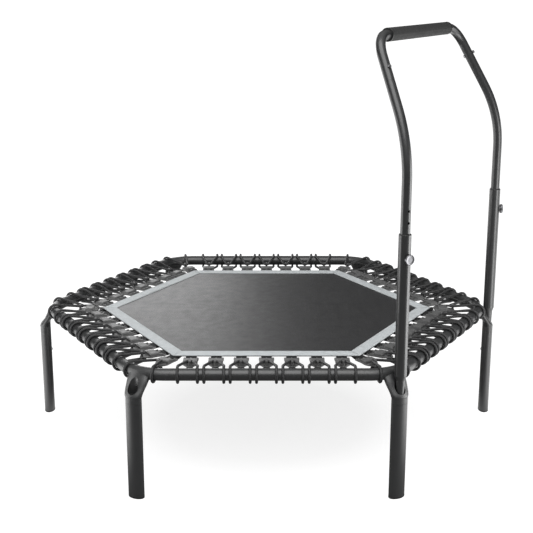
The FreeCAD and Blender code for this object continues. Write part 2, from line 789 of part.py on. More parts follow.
def upright(corner, azimuth):
    """The upper tube: it slides in the sleeve, leans inwards and carries the top bar."""
    name = "handle_upright_" + corner
    body = new_body(name, turn(azimuth))
    radius, wall = d.upright_radius, d.upright_wall
    spigot = radius - wall - d.spigot_clearance
    bend = (d.leg_distance, d.upright_bend_height)
    joint = slant_point(d.top_joint_drop + d.seam_gap)
    tip = slant_point(d.top_joint_drop - d.top_spigot_length)
    foot = (d.leg_distance, d.upright_bottom)
    for word, ring, end, kind in (
        ("tube", radius, joint, "AdditivePipe"),
        ("spigot", spigot, tip, "AdditivePipe"),
        ("hollow", spigot - wall, tip, "SubtractivePipe"),
    ):
        section = leg_section(body, f"{name}_{word}_section", d.upright_bottom)
        circle(section, ring)
        spine = new_sketch(body, f"{name}_{word}_path", "XZ_Plane")
        bent_path(spine, [foot, bend, end], [d.upright_bend_radius])
        pipe(body, f"{name}_{word}", section, spine, kind)
    base = (d.leg_distance, 0, d.pin_height)
    hole = rod(body, name + "_pin_hole", d.hole_radius, 30, base, X_AXIS, cut=True)
    holes = body.newObject("PartDesign::LinearPattern", name + "_pin_holes")
    holes.Originals = [hole]
    holes.Direction = (next(f for f in body.Origin.OriginFeatures if f.Role == "Z_Axis"), [""])
    bind(holes, Length=d.hole_pitch * (HOLE_COUNT - 1))
    holes.Occurrences = HOLE_COUNT
    body.Tip = holes
    across, place = joint_axis()
    rod(body, name + "_bolt_hole", 3.1, 60, place - across * 30, across, cut=True)
    keep(name, body)


def joint_axis():
    """The joint bolt's outward direction and middle, in the corner's own frame."""
    x, z = slant_point(d.top_bolt_drop)
    top_x, top_z = slant_point(as_size(0))
    down = FreeCAD.Vector(x.value - top_x.value, 0, z.value - top_z.value).normalize()
    return down.cross(Y_AXIS) * -1, FreeCAD.Vector(x.value, 0, z.value)


def top_bar():
    """The U-shaped top bar. It is flat, so it is drawn in the plane that it lies in."""
    lean_x = (d.leg_distance.value - d.top_distance.value) * COS30
    fall = d.top_height.value - d.upright_bend_height.value
    lean = FreeCAD.Rotation(Y_AXIS, -math.degrees(math.atan2(lean_x, fall)))
    middle = FreeCAD.Vector(d.top_distance.value * COS30, 0, d.top_height.value)
    place = turn(HANDLE_AZIMUTH) * FreeCAD.Placement(middle, lean)
    body = new_body("handle_top_bar", place)
    half_top = d.top_distance * SIN30
    splay = math.atan2((d.leg_distance.value - d.top_distance.value) * SIN30,
                       math.hypot(lean_x, fall))
    end = (half_top + d.top_joint_drop * math.sin(splay),
           d.top_joint_drop * -math.cos(splay))
    for word, ring, kind in (
        ("tube", d.upright_radius, "AdditivePipe"),
        ("hollow", d.upright_radius - d.upright_wall, "SubtractivePipe"),
    ):
        section = new_sketch(body, f"top_bar_{word}_section", "XZ_Plane")
        circle(section, ring)
        spine = new_sketch(body, f"top_bar_{word}_path", "YZ_Plane")
        bent_path(spine, [(0, 0), (half_top, 0), end], [d.top_bend_radius])
        last = pipe(body, f"top_bar_{word}", section, spine, kind)
    mirror = body.newObject("PartDesign::Mirrored", "top_bar_mirror")
    plane = next(f for f in body.Origin.OriginFeatures if f.Role == "XZ_Plane")
    mirror.Originals = [last]
    mirror.MirrorPlane = (plane, [""])
    mirror.TransformMode = "Whole shape"
    body.Tip = mirror
    across, centre = joint_axis()
    for corner, azimuth in HANDLE_CORNERS.items():
        local = place.inverse() * turn(azimuth)
        direction = local.Rotation.multVec(across)
        base = local.multVec(centre - across * 30)
        rod(body, "top_bar_bolt_hole_" + corner, 3.1, 60, base, direction, cut=True)
    keep("handle_top_bar", body)


def foam_grip():
    """The foam sleeve on the top bar, with softened ends."""
    place = turn(HANDLE_AZIMUTH) * at(d.top_distance.value * COS30, 0, d.top_height.value, Y_AXIS)
    half = d.grip_length * 0.5
    inner, outer = d.upright_radius + 0.1, d.grip_radius
    body = turned("foam_grip", [
        (inner, half * -1), (outer - 2, half * -1), (outer, half * -1 + 2),
        (outer, half - 2), (outer - 2, half), (inner, half),
    ], place)
    keep("foam_grip", body)


def hexagon_prism(name, across_flats, low, high, hole):
    """A hexagon nut or head along its local Z axis."""
    body = new_body(name)
    sketch = new_sketch(body, name + "_outline", offset=raised(as_size(low)))
    hexagon(sketch, as_size(across_flats / 2 / COS30))
    if hole:
        circle(sketch, as_size(hole))
    pad(body, name + "_pad", sketch, high - low)
    return body


def make_joint_bolts():
    """The bolt and nut through each joint of the top bar with an upright."""
    surface = DIMENSIONS["upright_radius"]
    bolt = turned("joint_bolt", [
        (0, -surface - 7), (3, -surface - 7), (3, surface), (5.2, surface),
        (5.2, surface + 2.6), (3.6, surface + 4.2), (0, surface + 4.2),
    ])
    nut = hexagon_prism("joint_nut", 10.0, -surface - 5.2, -surface, 3.05)
    doc.recompute()
    across, centre = joint_axis()
    seat = FreeCAD.Placement(centre, FreeCAD.Rotation(Z_AXIS, across))
    places = [turn(azimuth) * seat for azimuth in HANDLE_CORNERS.values()]
    group("joint_bolts", [(bolt.Shape, places)])
    group("joint_nuts", [(nut.Shape, places)])


def make_socket_bolts():
    """The bolt that locks each sleeve's foot in its socket, from the inner side."""
    bolt = turned("socket_bolt", [
        (0, -5), (4.5, -5), (6, -3.6), (6, 0), (3.0, 0), (3.0, 14), (0, 14),
    ])
    doc.recompute()
    seat = at(d.leg_distance.value - d.socket_bolt_seat.value, 0, d.socket_bolt_height.value,
              X_AXIS)
    places = [turn(azimuth) * seat for azimuth in HANDLE_CORNERS.values()]
    group("socket_bolts", [(bolt.Shape, places)])


# ---------------------------------------------------------------- locking knobs
def knob_set(corner, azimuth):
    """Housing, sprung plunger and pull knob. Heights are distances from the upright's axis."""
    place = turn(azimuth) * at(d.leg_distance.value, 0, d.pin_height.value, X_AXIS)
    face, radius = d.knob_face, d.knob_radius
    tip = d.upright_radius + 0.3
    housing = turned("plunger_housing_" + corner, [
        (3.8, 17.3), (6.4, 17.3), (6.4, 19.1), (9, 19.1), (9, 21), (7, 21), (7, 27),
        (2.6, 27), (2.6, 26), (5.3, 26), (5.3, 18.5), (3.8, 18.5),
    ], place)
    plunger = turned("plunger_" + corner, [
        (0, tip), (3.2, tip), (3.74, tip + 0.6), (3.74, 19), (5.2, 19), (5.2, 20),
        (2.5, 20), (2.5, 28.1), (0, 28.1),
    ], place)
    knob = turned("knob_" + corner, [
        (8, face - 7.5), (radius - 0.5, face - 7.5), (radius, face - 7), (radius, face - 0.8),
        (radius - 0.8, face), (0, face), (0, face - 0.8), (2.55, face - 0.8),
        (2.55, face - 1.7), (8, face - 1.7),
    ], place)
    for body in (housing, plunger, knob):
        keep(body.Name, body)
    spring(corner, place)


def spring(corner, place):
    """The small coil spring between the plunger's collar and the housing's cap."""
    wire, mean, length, coils, steps = 0.35, 3.9, 5.9, 4, 24
    rise = (length - 2 * wire) / (coils * steps)
    points = [
        FreeCAD.Vector(mean * math.cos(math.tau * i / steps),
                       mean * math.sin(math.tau * i / steps), rise * i)
        for i in range(coils * steps + 1)
    ]
    curve = Part.BSplineCurve()
    curve.interpolate(points)
    ring = Part.makeCircle(wire, points[0], curve.tangent(curve.FirstParameter)[0])
    coil = Part.Wire([curve.toShape()]).makePipeShell([Part.Wire(ring)], True, True)
    feature = doc.addObject("Part::Feature", "plunger_spring_" + corner)
    feature.Shape = coil
    feature.Placement = place * at(0, 0, 20.05 + wire)
    keep("plunger_spring_" + corner, feature)


# ---------------------------------------------------------------- the whole model
def export():
    """Recompute, check every object, and write one file for each node."""
    doc.recompute()
    for item in doc.Objects:
        if "Invalid" in item.State or "Error" in item.State:
            raise RuntimeError(f"{item.Name} is {item.State}")
    os.makedirs("parts", exist_ok=True)
    for name, feature in nodes.items():
        shape = feature.Shape
        if shape.isNull() or not shape.isValid():
            raise RuntimeError(f"{name} has a bad shape")
        shape.exportStep(f"parts/{name}.step")
    print(len(nodes), "nodes")


d = make_sheet()
for corner, azimuth in CORNERS.items():
    corner_bracket(corner, azimuth)
    leg_tube(corner, azimuth)
    foot_cap(corner, azimuth)
for side, azimuth in SIDES.items():
    side_tube(side, azimuth)
make_leg_screws()
make_mat()
make_border()
make_label()
make_loops()
for corner, azimuth in HANDLE_CORNERS.items():
    sleeve(corner, azimuth)
    sleeve_bushing(corner, azimuth)
    upright(corner, azimuth)
    knob_set(corner, azimuth)
top_bar()
foam_grip()
make_joint_bolts()
make_socket_bolts()
export()
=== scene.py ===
"""Looks for the mini trampoline: mat, webbing, elastic loops, hooks, grip, paint and light.

Metres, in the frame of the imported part: +Z up, the mat's middle over the origin.
"""
import bpy
import json
import math
from mathutils import Matrix, Vector


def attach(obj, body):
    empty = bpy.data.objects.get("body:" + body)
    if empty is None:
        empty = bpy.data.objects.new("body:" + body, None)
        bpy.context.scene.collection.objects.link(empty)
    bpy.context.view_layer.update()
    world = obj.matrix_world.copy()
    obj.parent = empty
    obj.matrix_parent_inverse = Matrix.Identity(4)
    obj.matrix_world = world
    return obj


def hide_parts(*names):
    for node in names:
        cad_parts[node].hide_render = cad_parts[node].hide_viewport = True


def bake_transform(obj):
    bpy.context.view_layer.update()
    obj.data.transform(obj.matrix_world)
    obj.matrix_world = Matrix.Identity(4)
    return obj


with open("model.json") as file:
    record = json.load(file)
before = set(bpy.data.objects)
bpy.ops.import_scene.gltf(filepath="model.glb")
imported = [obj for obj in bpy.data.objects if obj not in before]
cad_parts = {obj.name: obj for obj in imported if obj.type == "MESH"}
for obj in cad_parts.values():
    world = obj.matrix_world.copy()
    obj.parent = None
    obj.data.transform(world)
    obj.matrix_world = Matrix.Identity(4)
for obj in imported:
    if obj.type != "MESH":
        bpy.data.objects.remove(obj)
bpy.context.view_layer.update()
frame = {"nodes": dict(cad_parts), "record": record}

SIDES = {
    "back_right": 30.0,
    "back": 90.0,
    "back_left": 150.0,
    "front_left": 210.0,
    "front": 270.0,
    "front_right": 330.0,
}
COS30 = math.cos(math.radians(30))
TAN30 = math.tan(math.radians(30))

# ---------------------------------------------------------------- sizes, as in the CAD part
APOTHEM = 0.681
TUBE_HEIGHT = 0.396
BEND_RADIUS = 0.150
LOOP_PITCH = 0.0795
LOOPS_PER_SIDE = 7
CORD_RADIUS = 0.0045
WRAP_RADIUS = 0.0241
LOOP_START = 0.585
LOOP_START_HALF = 0.0074
LOOP_SHOULDER = 0.080
SHOULDER_RADIUS = 0.040
LOOP_TUBE_HALF = 0.030
LOOP_CORNER_HALF = 0.0424
LOOP_TOP = 0.404
LOOP_BOTTOM = 0.3805
CORNER_SHIFT = 0.080
HOOK_BAR = 0.521
MAT_CORNER = 0.596
MAT_TOP = 0.396
MAT_THICKNESS = 0.002
BORDER_INNER = 0.544 * COS30
BORDER_OUTER = 0.5924 * COS30
BORDER_TOP = 0.3975
LABEL_LENGTH = 0.146
LABEL_WIDTH = 0.036
HOOK_BOTTOM = 0.387
PEG_AHEAD = 0.0101  # a loop's round end to the middle of its peg
LEG_DISTANCE = 0.805
PIN_HEIGHT = 0.7635
KNOB_FACE = 0.0293
KNOB_RADIUS = 0.0158
SPRING_RADIUS = 0.0039
SPRING_WIRE = 0.00035
SPRING_COILS = 4
GRIP_DISTANCE = 0.6383 * COS30
GRIP_HEIGHT = 1.3914
GRIP_AZIMUTH = 330.0
GRIP_HALF_LENGTH = 0.244
GRIP_RADIUS = 0.0205

# ---------------------------------------------------------------- sizes of the finer shapes
PLATE_TOP = 0.3922
BLOCK_TOP = 0.3997
LID_TOP = 0.4007
STRAP_HALF_WIDTH = 0.0168
STRAP_HALF_THICKNESS = 0.0007
SPRING_FOOT = 0.0204  # the wire's middle at the plunger's collar, from the upright's axis
SPRING_HEAD = 0.0256  # the wire's middle under the housing's cap
GRIP_BORE = 0.0152
END_RING = 0.0055  # length of the ring at each end of the grip

# ---------------------------------------------------------------- camera
CAMERA_PLACE = (0, -3.7675, 1.5609)
CAMERA_TILT = 75.0  # degrees up from straight down
LENS = 73.38
SENSOR_WIDTH = 36.0


# ---------------------------------------------------------------- meshes
def piece(name, verts, faces, material, smooth=True, uvs=None):
    """A new mesh object. uvs holds one (u, v) for each corner of each face, in order."""
    mesh = bpy.data.meshes.new(name)
    mesh.from_pydata(verts, [], faces)
    if uvs:
        layer = mesh.uv_layers.new(name="UVMap")
        layer.data.foreach_set("uv", [c for uv in uvs for c in uv])
    mesh.validate()
    for polygon in mesh.polygons:
        polygon.use_smooth = smooth
    obj = bpy.data.objects.new(name, mesh)
    bpy.context.scene.collection.objects.link(obj)
    mesh.materials.append(material)
    return obj


def ring_mesh(rings, closed_rings=True, closed_path=False, lengths=None, caps=False):
    """Faces and UVs that join rings of equal length. Returns (verts, faces, uvs)."""
    count = len(rings[0])
    verts = [point for ring in rings for point in ring]
    faces, uvs = [], []
    spans = len(rings) if closed_path else len(rings) - 1
    around = count if closed_rings else count - 1
    for i in range(spans):
        j = (i + 1) % len(rings)
        for k in range(around):
            m = (k + 1) % count
            faces.append((i * count + k, i * count + m, j * count + m, j * count + k))
            low = lengths[i] if lengths else i
            high = lengths[i + 1] if lengths else i + 1
            u0, u1 = k / around, (k + 1) / around
            uvs += [(u0, low), (u1, low), (u1, high), (u0, high)]
    if caps:
        first = tuple(reversed(range(count)))
        last = tuple((len(rings) - 1) * count + k for k in range(count))
        for face in (first, last):
            faces.append(face)
            uvs += [(0, 0)] * count
    return verts, faces, uvs


def sweep(points, radius, painted_side_glow=10, closed=True):
    """A round tube along points, with UVs in turns and metres."""
    total = len(points)
    normal = None
    rings, lengths = [], [0.0]
    for i, point in enumerate(points):
        before = points[(i - 1) % total] if closed or i else point
        after = points[(i + 1) % total] if closed or i < total - 1 else point
        tangent = (after - before).normalized()
        if normal is None:
            normal = tangent.cross(Vector((0, 0, 1)) if abs(tangent.z) < 0.9 else Vector((0, 1, 0)))
        normal = (normal - tangent * normal.dot(tangent)).normalized()
        binormal = tangent.cross(normal)
        ring = []
        for k in range(painted_side_glow):
            angle = 2 * math.pi * k / painted_side_glow
            ring.append(point + (normal * math.cos(angle) + binormal * math.sin(angle)) * radius)
        rings.append(ring)
        lengths.append(lengths[-1] + (points[(i + 1) % total] - point).length)
    return ring_mesh(rings, closed_path=closed, lengths=lengths, caps=not closed)


def circle(place, radii, height):
    """Points round the local Z axis at a height, one for each radius."""
    ring = []
    for k, radius in enumerate(radii):
        angle = 2 * math.pi * k / len(radii)
        ring.append(place @ Vector((radius * math.cos(angle), radius * math.sin(angle), height)))
    return ring


def lathe(profile, place, segments):
    """A turned shape from (radius, height) points about the local Z axis."""
    rings = [circle(place, [radius] * segments, height) for radius, height in profile]
    return ring_mesh(rings, lengths=[height for _, height in profile])


def run_lengths(line):
    """The distance along a line of points to each of them."""
    lengths = [0.0]
    for first, second in zip(line, line[1:]):
        lengths.append(lengths[-1] + math.dist(first, second))
    return lengths


def merge(parts):
    """Join several (verts, faces, uvs) in one."""
    verts, faces, uvs = [], [], []
    for part_verts, part_faces, part_uvs in parts:
        base = len(verts)
        verts += part_verts
        faces += [tuple(base + i for i in face) for face in part_faces]
        uvs += part_uvs
    return verts, faces, uvs


def moved(part, matrix):
    """A copy of (verts, faces, uvs) in another place."""
    verts, faces, uvs = part
    return [matrix @ Vector(v) for v in verts], faces, uvs


def turn(azimuth):
    """The rotation from the +X side to a side or corner."""
    return Matrix.Rotation(math.radians(azimuth), 4, "Z")


def side_places():
    """For each side: its azimuth, its seven hooks' placements, and that of its corner's hook."""
    steps = [i - (LOOPS_PER_SIDE - 1) / 2 for i in range(LOOPS_PER_SIDE)]
    for side, azimuth in SIDES.items():
        along = [turn(azimuth) @ Matrix.Translation((0, k * LOOP_PITCH, 0)) for k in steps]
        yield side, azimuth, along, turn(azimuth + 30)


# ---------------------------------------------------------------- material nodes
def add(tree, kind, values=None, **settings):
    """Add a shader node. A value may be a number, a colour or another node's output."""
    node = tree.nodes.new("ShaderNode" + kind)
    for key, value in settings.items():
        setattr(node, key, value)
    for key, value in (values or {}).items():
        if isinstance(value, bpy.types.NodeSocket):
            tree.links.new(value, node.inputs[key])
        else:
            node.inputs[key].default_value = value
    return node


def math_node(tree, operation, first, second=0.0):
    return add(tree, "Math", {0: first, 1: second}, operation=operation).outputs[0]


def new_material(name, **constants):
    """A material with its Principled shader, whose constants are set on its own sockets."""
    material = bpy.data.materials.new(name)
    material.use_nodes = True
    tree = material.node_tree
    shader = tree.nodes["Principled BSDF"]
    for key, value in constants.items():
        shader.inputs[key.replace("_", " ")].default_value = value
    return material, tree, shader


def object_position(tree):
    return add(tree, "TexCoord").outputs["Object"]


def noise(tree, position, scale, detail=2.0, roughness=0.5):
    values = {"Vector": position, "Scale": scale, "Detail": detail, "Roughness": roughness}
    return add(tree, "TexNoise", values).outputs["Fac"]


def between(tree, factor, low, high, from_low=0.3, from_high=0.7):
    """Map a factor to a range of numbers."""
    values = {"Value": factor, "From Min": from_low, "From Max": from_high,
              "To Min": low, "To Max": high}
    return add(tree, "MapRange", values).outputs["Result"]


def blend_colours(tree, factor, first, second):
    mix = add(tree, "Mix", data_type="RGBA")
    for key, value in ((0, factor), (6, first), (7, second)):
        if isinstance(value, bpy.types.NodeSocket):
            tree.links.new(value, mix.inputs[key])
        elif key:
            mix.inputs[key].default_value = (*value, 1.0)
        else:
            mix.inputs[key].default_value = value
    return mix.outputs[2]


def bump(tree, shader, height, distance, strength=1.0):
    values = {"Height": height, "Distance": distance, "Strength": strength}
    node = add(tree, "Bump", values)
    tree.links.new(node.outputs["Normal"], shader.inputs["Normal"])


def surface(name, dark, light, rough, grain, depth, patch=14.0, **constants):
    """A finish with uneven colour, uneven gloss and a fine grain.

    rough is (smoothest, roughest), grain is the grains in a metre, depth is in metres.
    """
    material, tree, shader = new_material(name, **constants)
    position = object_position(tree)
    broad = noise(tree, position, patch, 3.0)
    tree.links.new(blend_colours(tree, broad, dark, light), shader.inputs["Base Color"])
    spots = noise(tree, position, patch * 7, 4.0)
    tree.links.new(between(tree, spots, *rough), shader.inputs["Roughness"])
    bump(tree, shader, noise(tree, position, grain, 3.0, 0.6), depth)
    return material


def wave(tree, value, period):
    """A sine of a length, with the given period in the same unit."""
    return math_node(tree, "SINE", math_node(tree, "MULTIPLY", value, 2 * math.pi / period))


def woven_mat():
    """Fine plain weave with a directional sheen and painted shade in the hollows of the weave."""
    material, tree, shader = new_material("woven_mat", Specular_IOR_Level=0.5)
    position = object_position(tree)
    axes = add(tree, "SeparateXYZ", {0: position}).outputs
    weave = math_node(tree, "MULTIPLY", wave(tree, axes[0], 0.0032), wave(tree, axes[1], 0.0032))
    ribs = math_node(tree, "MULTIPLY", wave(tree, axes[1], 0.0016), 0.35)
    height = math_node(tree, "ADD", weave, ribs)
    # painted shade: the colour follows the weave's bump height, lighter on the raised yarn and
    # darker in the hollows
    painted_weave_shade = between(tree, weave, 0.0, 1.0, -1.0, 1.0)
    cloth = blend_colours(tree, painted_weave_shade, (0.013, 0.013, 0.0135), (0.028, 0.028, 0.029))
    streaks = add(tree, "Mapping", {"Vector": position, "Scale": (260.0, 4.0, 1.0)})
    uneven = between(tree, noise(tree, streaks.outputs[0], 1.0, 3.0), 0.88, 1.12)
    scaled = add(tree, "VectorMath", {0: cloth, "Scale": uneven}, operation="SCALE")
    tree.links.new(scaled.outputs[0], shader.inputs["Base Color"])
    spots = noise(tree, position, 30.0, 3.0)
    tree.links.new(between(tree, spots, 0.36, 0.44), shader.inputs["Roughness"])
    bump(tree, shader, height, 0.00012, 0.5)
    return material


def ribbed_webbing(name, dark, light, rib, rough, depth=0.0002):
    """Webbing whose UVs are metres across and along it, with painted shade in the grooves between
    its ribs.
    """
    material, tree, shader = new_material(name, Specular_IOR_Level=0.3)
    axes = add(tree, "SeparateXYZ", {0: add(tree, "TexCoord").outputs["UV"]}).outputs
    ribs = wave(tree, axes[0], rib)
    slant = math_node(tree, "ADD", axes[1], math_node(tree, "MULTIPLY", axes[0], 0.5))
    picks = wave(tree, slant, rib * 0.9)
    height = math_node(tree, "ADD", ribs, math_node(tree, "MULTIPLY", picks, 0.6))
    # painted shade: the colour follows the rib height, lighter on the ribs and picks, darker in the
    # grooves
    shade = between(tree, height, 0.0, 1.0, -1.4, 1.2)
    cloth = blend_colours(tree, shade, dark, light)
    position = object_position(tree)
    uneven = between(tree, noise(tree, position, 45.0, 4.0), 0.93, 1.07)
    scaled = add(tree, "VectorMath", {0: cloth, "Scale": uneven}, operation="SCALE")
    tree.links.new(scaled.outputs[0], shader.inputs["Base Color"])
    tree.links.new(between(tree, shade, *rough, 0.0, 1.0), shader.inputs["Roughness"])
    bump(tree, shader, height, depth, 0.7)
    return material


def braided_cord():
    """A tight braid over the elastic: UVs are turns round and metres along the cord. Its colour
    carries painted shade, darker in the braid's grooves.
    """
    material, tree, shader = new_material("braided_cord", Specular_IOR_Level=0.35)
    axes = add(tree, "SeparateXYZ", {0: add(tree, "TexCoord").outputs["UV"]}).outputs
    around = math_node(tree, "MULTIPLY", axes[0], 5.0)
    along = math_node(tree, "MULTIPLY", axes[1], 1 / 0.0075)
    one = wave(tree, math_node(tree, "ADD", around, along), 1.0)
    other = wave(tree, math_node(tree, "SUBTRACT", around, along), 1.0)
    height = math_node(tree, "MULTIPLY", one, other)
    # painted shade: the colour follows the braid height, lighter on the strands and darker in the
    # grooves
    shade = between(tree, height, 0.0, 1.0, -1.0, 1.0)
    cloth = blend_colours(tree, shade, (0.018, 0.018, 0.0185), (0.046, 0.046, 0.047))
    tree.links.new(cloth, shader.inputs["Base Color"])
    spots = noise(tree, object_position(tree), 60.0, 3.0)
    tree.links.new(between(tree, spots, 0.42, 0.58), shader.inputs["Roughness"])
    bump(tree, shader, height, 0.0003, 0.8)
    return material


def brushed_disc():
    """Turned aluminium: the lines run round the knob. UVs are turns and metres of profile."""
    material, tree, shader = new_material("turned_aluminium", Metallic=1.0)
    axes = add(tree, "SeparateXYZ", {0: add(tree, "TexCoord").outputs["UV"]}).outputs
    rings = add(tree, "CombineXYZ", {0: math_node(tree, "MULTIPLY", axes[1], 2200.0), 1: axes[0]})
    lines = noise(tree, rings.outputs[0], 1.0, 3.0)
    metal = blend_colours(tree, lines, (0.12, 0.12, 0.125), (0.22, 0.22, 0.23))
    tree.links.new(metal, shader.inputs["Base Color"])
    tree.links.new(between(tree, lines, 0.28, 0.42), shader.inputs["Roughness"])
    bump(tree, shader, lines, 0.00006, 0.6)
    return material


PAINT = ((0.018, 0.0185, 0.019), (0.024, 0.0245, 0.025))
materials = {
    "frame_paint": surface("powder_coat", *PAINT, (0.33, 0.40), 1500.0, 0.00004,
                           Specular_IOR_Level=0.75),
    "handle_paint": surface("handle_powder_coat", *PAINT, (0.29, 0.35), 1500.0, 0.00003,
                            Specular_IOR_Level=0.75),
    "foot_rubber": surface("foot_rubber", (0.008,) * 3, (0.014,) * 3, (0.6, 0.8), 900.0, 0.00008),
    "bolt_steel": surface("zinc_steel", (0.20, 0.20, 0.205), (0.32, 0.32, 0.325), (0.3, 0.45),
                          1200.0, 0.00002, 90.0, Metallic=1.0),
    "hook_plastic": surface("moulded_plastic", (0.085,) * 3, (0.110,) * 3, (0.38, 0.5), 1400.0,
                            0.00004),
    "guide_plastic": surface("guide_plastic", (0.008,) * 3, (0.013,) * 3, (0.4, 0.5), 1400.0,
                             0.00003),
    "foam_rubber": surface("foam", (0.010,) * 3, (0.017,) * 3, (0.7, 0.85), 1100.0, 0.00025),
    "label_cloth": surface("label_cloth", (0.05, 0.055, 0.06), (0.07, 0.075, 0.08), (0.6, 0.7),
                           1600.0, 0.00006, 60.0),
    "stitching": surface("stitching_thread", (0.50, 0.53, 0.55), (0.62, 0.65, 0.67), (0.6, 0.7),
                         2400.0, 0.00005, 200.0),
    "mat_weave": woven_mat(),
    "border_webbing": ribbed_webbing("border_webbing", (0.37, 0.395, 0.405), (0.53, 0.555, 0.565),
                                     0.0028, (0.55, 0.7)),
    "strap_webbing": ribbed_webbing("strap_webbing", (0.006,) * 3, (0.018,) * 3, 0.0022,
                                    (0.55, 0.7)),
    "loop_cord": braided_cord(),
    "knob_metal": brushed_disc(),
}

# carried-over CAD nodes take the material of their slot
slots = {row["node"]: row["material_slot"] for row in frame["record"]["subparts"]}
for node_name, cad_object in frame["nodes"].items():
    cad_object.data.materials.clear()
    cad_object.data.materials.append(materials[slots[node_name]])


# ---------------------------------------------------------------- the mat and its border
def side_point(azimuth, distance, along, height):
    """A point from its distance out, its place along a side and its height."""
    return turn(azimuth) @ Vector((distance, along, height))


def make_mat():
    """The mat: a hexagon of fine rings, with a rolled hem that the hooks pull slightly out."""
    steps = 56
    rings = []
    hem = MAT_CORNER * COS30
    profile = [(0.10, 0), (0.22, 0), (0.32, 0), (0.40, 0), (0.455, 0), (0.500, 0),
               (hem - 0.0035, 0), (hem - 0.0022, 0.0003), (hem - 0.0008, 0.0001),
               (hem, -0.0007), (hem, -0.0014), (hem - 0.0008, -0.002), (hem - 0.004, -0.002),
               (0.455, -0.002), (0.30, -0.002), (0.10, -0.002)]
    for distance, drop in profile:
        ring = []
        for azimuth in SIDES.values():
            for k in range(steps):
                share = 2 * k / steps - 1
                along = share * distance * TAN30
                pulled = 0.5 - 0.5 * math.cos(2 * math.pi * along / LOOP_PITCH)
                weight = max(0.0, min(1.0, (distance - hem + 0.006) / 0.006))
                inset = 0.0011 * pulled * weight * (1 - share ** 6)
                ring.append(side_point(azimuth, distance - inset, along, MAT_TOP + drop))
        rings.append(ring)
    verts, faces, _ = ring_mesh(rings)
    count = len(rings[0])
    for ring, height, order in ((0, MAT_TOP, -1), (len(rings) - 1, MAT_TOP - MAT_THICKNESS, 1)):
        centre = len(verts)
        verts.append(Vector((0, 0, height)))
        for k in range(count):
            edge = (ring * count + k, ring * count + (k + 1) % count)
            faces.append((centre, *edge[::order]))
    mat = piece("mat_cloth", verts, faces, materials["mat_weave"])
    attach(mat, "mat")
    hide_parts("mat_fabric")
    return mat


def border_strip(azimuth):
    """One strip of webbing, lying on the mat, mitred at both ends."""
    steps, columns = 48, 18
    rings = []
    width = BORDER_OUTER - BORDER_INNER
    distances = []
    for j in range(columns + 1):
        share = j / columns
        distance = BORDER_INNER + width * share
        edge = min(share, 1 - share) * width
        lift = 0.0013 * min(1.0, math.sqrt(edge / 0.0012)) - 0.00025 * math.cos(2 * math.pi * share)
        distances.append(distance)
        ring = []
        for k in range(steps + 1):
            along = (2 * k / steps - 1) * distance * TAN30
            end = min(1.0, (1 - abs(2 * k / steps - 1)) * 30 + 0.35)
            ring.append(side_point(azimuth, distance, along, MAT_TOP + 0.0002 + lift * end))
        rings.append(ring)
    verts, faces, _ = ring_mesh(rings, closed_rings=False)
    uvs = []
    for face in faces:
        for index in face:
            j, k = divmod(index, steps + 1)
            uvs.append((distances[j], (2 * k / steps - 1) * distances[j] * TAN30))
    return verts, faces, uvs


def stitch_row(azimuth, distance, height, reach, pitch=0.0042, length=0.0032, gauge=0.00035):
    """Short raised stitches along a side, as little rounded bars."""
    parts = []
    count = int(2 * reach / pitch)
    for i in range(count):
        middle = (i + 0.5) * pitch - count * pitch / 2
        rings = []
        for step, scale in ((-0.5, 0.25), (-0.38, 0.9), (0, 1.0), (0.38, 0.9), (0.5, 0.25)):
            ring = []
            for k in range(6):
                angle = math.pi * k / 3
                lift = gauge * scale * (0.6 + math.sin(angle))
                ring.append(side_point(azimuth, distance + gauge * scale * math.cos(angle) * 1.3,
                                       middle + step * length, height + lift))
            rings.append(ring)
        parts.append(ring_mesh(rings, caps=True))
    return merge(parts)


def make_border():
    """The six mitred strips and their three rows of stitches."""
    strips = merge([border_strip(azimuth) for azimuth in SIDES.values()])
    border = piece("border_strips", *strips[:2], materials["border_webbing"], uvs=strips[2])
    solid = border.modifiers.new("thickness", "SOLIDIFY")
    solid.thickness = 0.0009
    solid.offset = -1
    rows = []
    for azimuth in SIDES.values():
        for distance in (BORDER_INNER + 0.0035, BORDER_INNER + 0.0065, BORDER_OUTER - 0.0035):
            rows.append(stitch_row(azimuth, distance, BORDER_TOP - 0.0002,
                                   distance * TAN30 - 0.004))
    stitches = piece("border_stitching", *merge(rows)[:2], materials["stitching"])
    for obj in (border, stitches):
        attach(obj, "mat")
    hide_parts("mat_border")
    return border, stitches


def make_label():
    """A plain woven patch on the back left strip, with rounded corners and a raised hem."""
    corner = 0.003
    middle = (BORDER_INNER + BORDER_OUTER) / 2
    rings = []
    base = BORDER_TOP - 0.0002
    for inset, height in ((0.0, 0.0), (0.0, 0.0006), (0.0004, 0.0009), (0.0022, 0.0009),
                          (0.0026, 0.0006), (0.012, 0.0006)):
        ring = []
        radius = max(0.0006, corner - inset)
        for quarter, (sign_x, sign_y) in enumerate(((1, 1), (-1, 1), (-1, -1), (1, -1))):
            centre_x = sign_x * (LABEL_WIDTH / 2 - inset - radius)
            centre_y = sign_y * (LABEL_LENGTH / 2 - inset - radius)
            for k in range(7):
                angle = math.radians(quarter * 90 + k * 15)
                distance = middle + centre_x + radius * math.cos(angle)
                along = centre_y + radius * math.sin(angle)
                ring.append(side_point(SIDES["back_left"], distance, along, base + height))
        rings.append(ring)
    verts, faces, _ = ring_mesh(rings, caps=True)
    label = piece("blank_label", verts, faces, materials["label_cloth"], smooth=False)
    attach(label, "mat")
    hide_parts("mat_label")
    return label


